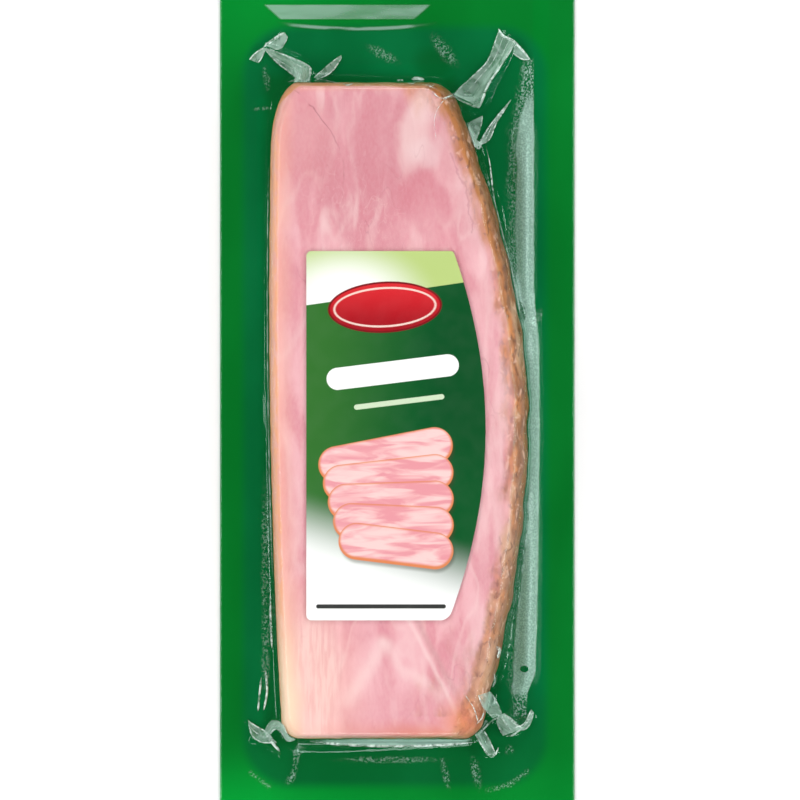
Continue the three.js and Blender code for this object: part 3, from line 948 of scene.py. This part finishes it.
def rind_cover(s):
    """1 where the slab is browned and 0 on its cut face, with a ragged border."""
    top_end = s.y.ramp(90, 95) * 0.78
    bottom_end = s.y.ramp(-97, -101) * s.x.ramp(0, 20, 0.15, 0.7)
    right_side = s.x.ramp(-26, 6) * s.y.ramp(-104, -97)
    border_height = top_end.at_least(bottom_end).at_least(right_side) * 5.8 + 14.9
    on_side = (s.z + s.blotches - 0.5 - border_height).ramp(0.4, -0.4)
    # Lower down on the right the browning runs on over the edge of the face, widest at the corner.
    reach = s.y.ramp(-30, -92, 5.2, 7.6) + (s.noise((5, 9, 5), detail=4, seed=18) - 0.5) * 5
    on_face = (s.from_right - reach).ramp(1.4, -1.6) * s.x.ramp(0, 16) * s.y.ramp(48, 8)
    return on_side.at_least(on_face * s.blotches.ramp(0.3, 0.5, 0.45, 1.0) * 0.85)


def bacon_material():
    s = Bacon()
    face = s.layered(LEAN, marbling(s) + upper_patches(s) + lower_patches(s) + fine_marks(s) + warm_edge(s))
    rind = s.mix(s.x.ramp(-4, 14), tan_side(s), brown_rind(s))
    corner = s.spot(24, -99.4, 6, 4.4, 0, 1.5, s.warp * 0.5) * 0.4
    colour = s.layered(face, [(rind_cover(s), rind), (corner, (226, 128, 86))])
    s.bump(s.streaks * 0.5 + s.grain * 0.3 + s.spots * s.z.ramp(20.6, 19.6), 0.35)
    s.set(Base_Color=colour, Roughness=s.grain.ramp(0.2, 0.8, 0.34, 0.52))
    return s.material


# The green backing

def beyond(place, low, high):
    """How far a place is outside a span."""
    return (place - (high + low) / 2).size() - (high - low) / 2


def in_pocket(s):
    """1 inside the pocket and 0 where the films are sealed together."""
    corner = POCKET["corner"]
    aside = (beyond(s.x, POCKET["left"], POCKET["right"]) + corner).at_least(0.0)
    endways = (beyond(s.y, POCKET["bottom"], POCKET["top"]) + corner).at_least(0.0)
    return ((aside**2 + endways**2) ** 0.5).ramp(corner + 1, corner - 3.5)


def painted_shade_beside_slab(s):
    """Painted shade: 1 at the slab's foot and under the strap at its top, where shade falls, and 0 some
    millimetres away.
    """
    aside = (s.x - right_edge(s)).at_least(SLAB_LEFT + 1 - s.x)
    away = aside.at_least(beyond(s.y, SLAB_BOTTOM, SLAB_TOP))
    return away.ramp(5, 0.5).at_least(s.spot(11, 104, 6, 5, -20, 1.0))


def backing_material():
    """Green film, brighter where the clear film is sealed to it than in the pocket, with painted light on
    the seal towards its left corners and painted shade in the pocket by the slab and at its lower end.
    """
    s = Shader("green_backing")
    mottle = s.noise((30, 60, 30), detail=2)
    # Painted light: the sealed green is brighter towards its lower left and upper left corners, where more
    # light falls.
    painted_light_below = s.y.ramp(-106, -128) * s.x.ramp(30, -44, 0.3, 1.0)
    painted_light_above = s.y.ramp(96, 128) * s.x.ramp(20, -40) * 0.5
    sealed = s.layered((1, 114, 36), [
        (mottle.ramp(0.3, 0.7), (2, 124, 42)),
        (painted_light_below.at_least(painted_light_above), (2, 152, 52)),
    ])
    loose = s.layered((1, 104, 52), [
        (mottle.ramp(0.35, 0.65), (3, 116, 62)),
        # Painted shade: the pocket's green is darker towards its lower end, below the slab.
        (s.y.ramp(-90, -112) * 0.6, (2, 96, 38)),
        # Painted shade round the slab's foot and under the strap at its top.
        (painted_shade_beside_slab(s) * 0.4, (2, 82, 18)),
    ])
    s.bump(s.noise((3, 3, 3), detail=2, seed=3), 0.02)
    s.set(Base_Color=s.mix(in_pocket(s), sealed, loose), Specular_IOR_Level=0.04)
    s.set(Roughness=mottle.ramp(0.3, 0.7, 0.4, 0.5))
    return s.material


# The label's print

def label_ground(s):
    """A pale header over a green field that fades to white at the bottom."""
    header = s.mix(s.spot(-16, 30, 19, 13, 0, 1.2), (184, 206, 126), PRINT_WHITE)
    field = s.layered((50, 112, 44), [
        ((s.x * 0.9 - s.y * 0.1).ramp(-26, 10), (2, 84, 36)),
        (s.spot(24, 10, 16, 30, 0, 0.9) * 0.4, (0, 66, 28)),
        ((s.y + s.x * 0.32).ramp(-36, -60), PRINT_WHITE),
    ])
    above_border = s.y - (s.x + 28) * 0.145 - 29.2
    return s.mix(above_border.ramp(-0.12, 0.12), field, header)


def label_oval(s):
    """A plain red oval with a dark edge, and a pale line inside it."""
    def oval(half_x, half_y, soft):
        return s.spot(-3.8, 28.6, half_x, half_y, 3, soft)

    red = s.mix(s.y.ramp(36, 21), (214, 38, 46), (158, 12, 26))
    ring = oval(15.9, 6.2, 0.04) - oval(15.3, 5.6, 0.04)
    return [
        (oval(17.6, 7.9, 0.03), (122, 10, 20)),
        (oval(17, 7.3, 0.03), red),
        (ring * 0.85, (250, 226, 214)),
    ]


def label_bars(s):
    """Plain bars where a label has its words."""
    return [
        (s.bar(-1.4, 8.6, 20.5, 3.4, 7), PRINT_WHITE),
        (s.bar(0.6, -0.6, 14, 0.8, 7) * 0.9, (214, 232, 200)),
        (s.bar(-5, -63.6, 20, 0.65, 0), (52, 54, 52)),
    ]


def label_slices(s):
    """A shingled row of plain slices with browned rims."""
    marble = s.noise((13, 2.6, 3), distortion=0.6, seed=3)
    meat = s.mix(marble.ramp(0.36, 0.64), (230, 152, 160), (249, 206, 203))
    layers = []
    for i in range(5):
        x, y = -3.6 + 0.8 * i, -17 - 7 * i
        half_x, turn = 21 - 0.8 * i, 11 - 4.5 * i
        layers += [
            (s.bar(x + 0.5, y - 0.9, half_x, 5.8, turn, 0.7) * 0.5, (60, 56, 36)),
            (s.bar(x, y, half_x, 5.7, turn), (222, 132, 84)),
            (s.bar(x, y + 0.35, half_x - 0.6, 5.0, turn, 0.5), meat),
        ]
    return layers


def label_material():
    s = Shader("label_print")
    s.bump(s.noise((0.5, 0.5, 0.5), detail=2, seed=5), 0.01)
    s.set(Base_Color=s.layered(label_ground(s), label_oval(s) + label_bars(s) + label_slices(s)))
    s.set(Roughness=s.noise((6, 6, 6), seed=6).ramp(0.3, 0.7, 0.3, 0.4))
    return s.material


# The clear film's haze, painted glints and shine

# Small crumpled patches with painted glints: place, half sizes and turn of each.
CRUMPLED_GLINT_SPOTS = [
    (-4.5, 107.2, 5, 1.5, -28),
    (14.6, 108.4, 5.5, 2.0, -52),
    (15, -116, 4.4, 1.0, 104),
    (24.4, -115.6, 4.8, 1.3, 100),
    (-31.6, -112, 5, 1.1, 80),
    (-30.6, -108.6, 1.7, 1.3, 40),
    (-33.2, -117.6, 1.8, 1.1, 50),
    (34.8, -108.6, 1.4, 1.3, 60),
    (-2, -111.6, 15, 1.0, 0),
    (-40.6, 100, 3.6, 1.0, 96),
    (-42, 90.4, 2.4, 0.6, 4),
    (43.2, 25.4, 2.8, 1.2, 66),
]

# Crumpled lines with painted highlights by the pocket's lower corners, from end to end.
CRUMPLED_GLINT_LINES = [(-45.4, -115.6, -39.8, -120), (28, -121.2, 35, -119.2), (35, -119.2, 40.4, -115.2)]


class Film(Shader):
    """The clear film's material, with what its haze and painted reflections share."""

    def __init__(self):
        super().__init__("clear_film")
        self.speckle = self.noise((0.5, 0.62, 0.5), detail=2, roughness=0.75, seed=12).ramp(0.45, 0.6)
        self.ragged = (self.noise((2, 6, 2), seed=11) - 0.5) * 3
        self.past_bend = self.y.ramp(*ROLL_BEND)
        lower_axis = ROLL_LOWER_X - ROLL_BOW * (self.y - BELLY_Y) ** 2
        self.off_roll = self.x - (lower_axis + self.past_bend * (ROLL_UPPER_X - lower_axis))


def roll_haze_and_reflection(s):
    """The slack roll's haze and a painted reflection of the lamps on it: sharp on its right, ragged on its
    left, with a thin tip and a neck.
    """
    tip = s.y.ramp(78, 104)
    foot = s.y.ramp(-84, -92)
    narrower = tip * 4.6 + s.y.near(ROLL_NECK_Y, 7) * 2.4 + s.y.ramp(22, 4) * 1.9
    wider = s.y.ramp(-30, -84) * 3.1 + 2.8
    from_left = s.off_roll - narrower + wider
    core = (from_left + s.ragged * 0.7).ramp(-0.4, 0.7) * (s.speckle * 0.4 + 0.74)
    core = core * (s.y + s.ragged * 0.4).ramp(-93, -90) * tip.ramp(0.9, 0.5)
    dense = tip.at_least(foot) * 0.4 + s.past_bend * 0.2 + 0.45
    fringe = (from_left + s.ragged + 3.2 - foot * 2.4).ramp(-1, 2.6) * s.speckle * dense
    right_side = (s.off_roll + s.ragged * 0.1 + foot * 2.2).ramp(3.1, 2.6)
    along = s.y.ramp(ROLL_BOTTOM - 5, ROLL_BOTTOM - 1) * s.y.ramp(107, 103)
    hole = s.spot(39.4, -83.4, 1.3, 1.0, 0, 0.3)
    return core.at_least(fringe) * right_side * along * (1 - hole)


def crumple_haze_and_glints(s):
    """Crinkled film with painted glints: the faint crumpled strip down the left, and the small crumpled
    patches and lines.
    """
    bend = s.ragged * 0.3
    strip = (s.x - s.ragged * 0.5).near(-40.8, 2.1, 0.4) * s.y.ramp(-96, -84) * s.y.ramp(-14, -40)
    spots = sum(s.spot(*spot, 1.2, bend) for spot in CRUMPLED_GLINT_SPOTS)
    lines = sum(s.line(*ends, 1.4, bend) for ends in CRUMPLED_GLINT_LINES)
    return ((strip + lines) * 0.55 + spots * 0.6) * s.speckle


def painted_seal_highlights(s):
    """Painted highlights: the reflection on the loose patch of the upper seal, the bead below it, and the
    cuff at the lower end.
    """
    sloped_ends = (s.x + 15.5).size() - (s.y - 118) * 1.1
    unsealed_sheen = sloped_ends.ramp(21.4, 19.8) * s.y.near(120.4, 2.5, 2.0)
    unsealed_sheen = unsealed_sheen * s.noise((14, 3, 3), detail=1, seed=17).ramp(0.35, 0.65, 0.45, 0.75)
    bead_highlight = (s.y - (s.x + 12) ** 2 * 0.0028).near(115.2, 0.9, 0.1) * s.x.near(-12.4, 26, 18)
    bead_highlight = bead_highlight * s.noise((8, 2, 2), detail=1, seed=19).ramp(0.35, 0.6, 0.2, 0.8)
    # Painted highlight where the film bends round the slab's lower end.
    cuff = (s.y - s.x**2 * CUFF_BOW).near(CUFF_Y, 1.4, 0.7) * s.x.near(-1, 26, 20)
    return unsealed_sheen + bead_highlight + cuff * 0.9


def dulled_shine_mask(s):
    """1 where the film is slack and its shine is turned down, a painted shade over the lamps' highlights:
    at the slab's upper end, left, shoulders and by the roll.
    """
    end = s.y.near(101.4, 3.2, 2.4) * s.x.near(-4, 23, 20)
    left = s.x.ramp(-39, -39.8) * s.x.ramp(-44, -43) * s.y.ramp(20, 36, 0.35, 1.0) * s.y.ramp(96, 92)
    shoulders = s.z.ramp(9, 12) * s.z.ramp(21.3, 21.1) * s.x.size().ramp(14, 20) * 0.75
    beside_roll = s.off_roll.ramp(2.2, 3) * s.x.ramp(47.6, 46.8) * s.y.ramp(ROLL_BOTTOM, ROLL_BOTTOM + 8)
    return end.at_least(left).at_least(shoulders).at_least(beside_roll)


def film_material():
    """Clear film. Where it is finely crumpled it is hazed with light speckles, partly painted reflections
    and highlights of the lamps.
    """
    s = Film()
    haze_and_glints = (roll_haze_and_reflection(s) + crumple_haze_and_glints(s) + painted_seal_highlights(s)) * s.z.ramp(6, 3.6)
    # Painted shade: the film's shine is turned down there, so the lamps' highlights don't show.
    shine = dulled_shine_mask(s).ramp(0, 1, 1.0, 0.15)
    s.bump(s.noise((3, 3, 3), detail=1, seed=14), 0.03)
    s.set(Base_Color=(214, 250, 238), Metallic=haze_and_glints.ramp(0, 0.5, 1.0, 0.3))
    s.set(Roughness=haze_and_glints.ramp(0, 0.7, 0.1, 0.5))
    s.see_through((s.gloss(0.035) * shine + haze_and_glints * 0.42).at_most(0.9))
    return s.material


def fold_material():
    """Two or three layers of the film lying on each other, with a painted whitish sheen in patches."""
    s = Shader("folded_film")
    fold_lumps_and_sheen = s.noise((4, 4, 4), detail=2, distortion=0.6, seed=15)
    s.bump(fold_lumps_and_sheen, 0.1)
    s.set(Base_Color=(208, 238, 224), Metallic=0.15, Roughness=0.3)
    s.see_through((s.gloss(0.06) + fold_lumps_and_sheen.ramp(0.32, 0.68, 0.16, 0.46)).at_most(0.9))
    return s.material


def crease_and_highlight_material():
    """The sharp creases, where stretched film is milky, and the painted highlights drawn as creases."""
    s = Shader("creased_film_and_highlights")
    broken = s.noise((0.8, 0.8, 0.8), seed=16)
    faded = s.noise((3.5, 3.5, 3.5), detail=1, seed=20).ramp(0.35, 0.6, 0.3, 1.0)
    s.bump(broken, 0.1)
    s.set(Base_Color=(238, 255, 248), Metallic=0.1, Roughness=0.2)
    s.see_through(broken.ramp(0.3, 0.6, 0.15, 0.95) * faded)
    return s.material


def floor_material():
    s = Shader("pale_floor")
    s.set(Base_Color=(250, 250, 250), Roughness=0.9)
    return s.material


# Floor, light and camera

FLOOR_REACH, FLOOR_DROP = 4000, 0.2

# The lamps and the camera are placed in metres.
LAMP_DISTANCE = 0.9

# Azimuth, 0 on the right and 90 at the top, degrees from straight up, watts and sides.
SOFTBOXES = {
    "softbox_right": (0, 50, 4.4, (0.5, 0.45)),
    "softbox_left": (180, 50, 4.4, (0.5, 0.45)),
    "softbox_top": (90, 52, 3.6, (0.5, 0.4)),
    "softbox_bottom": (270, 52, 3.6, (0.5, 0.4)),
}
SKY_STRENGTH = 0.04

CAMERA_X, CAMERA_HEIGHT, VIEW_WIDTH = 0.00085, 3.0, 0.2483


def wear(thing, material):
    thing.data.materials.clear()
    thing.data.materials.append(material)


def make_floor():
    a = FLOOR_REACH
    corners = [(x, y, -FLOOR_DROP) for x, y in [(-a, -a), (a, -a), (a, a), (-a, a)]]
    floor = new_object("floor", corners, [(0, 1, 2, 3)])
    wear(floor, floor_material())


def make_softbox(name, azimuth, lean, watts, sides):
    lamp = bpy.data.lights.new(name, "AREA")
    lamp.shape = "RECTANGLE"
    lamp.size, lamp.size_y = sides
    lamp.energy = watts
    holder = add_object(name, lamp)
    turn, lean = math.radians(azimuth), math.radians(lean)
    way = Vector((math.cos(turn) * math.sin(lean), math.sin(turn) * math.sin(lean), math.cos(lean)))
    holder.location = way * LAMP_DISTANCE
    holder.rotation_euler = way.to_track_quat("Z", "Y").to_euler()


def make_light():
    for name, setting in SOFTBOXES.items():
        make_softbox(name, *setting)
    world = bpy.data.worlds.new("studio")
    world.use_nodes = True
    background = world.node_tree.nodes["Background"]
    background.inputs["Color"].default_value = (1, 1, 1, 1)
    background.inputs["Strength"].default_value = SKY_STRENGTH
    bpy.context.scene.world = world


def make_camera():
    """Straight above, far off, with the pack cut off at both ends as it is framed."""
    camera = bpy.data.cameras.new("camera")
    camera.sensor_width = 36
    camera.lens = camera.sensor_width * CAMERA_HEIGHT / VIEW_WIDTH
    holder = add_object("camera", camera)
    holder.location = (CAMERA_X, 0, CAMERA_HEIGHT)
    bpy.context.scene.camera = holder


# The pack and its studio

def join_pack(thing, material):
    wear(thing, material)
    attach(thing, "root")


wear(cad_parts["backing_film"], backing_material())

slab = make_slab()
join_pack(slab, bacon_material())
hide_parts("bacon_slab")

film = make_film()
join_pack(film, film_material())
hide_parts("clear_film")

ground = Ground(film)
join_pack(make_folds(ground), fold_material())
join_pack(make_creases_and_highlights(ground), crease_and_highlight_material())

label = make_label()
join_pack(label, label_material())
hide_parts("label")

make_floor()
make_light()
make_camera()
bpy.context.scene.view_settings.view_transform = "Standard"
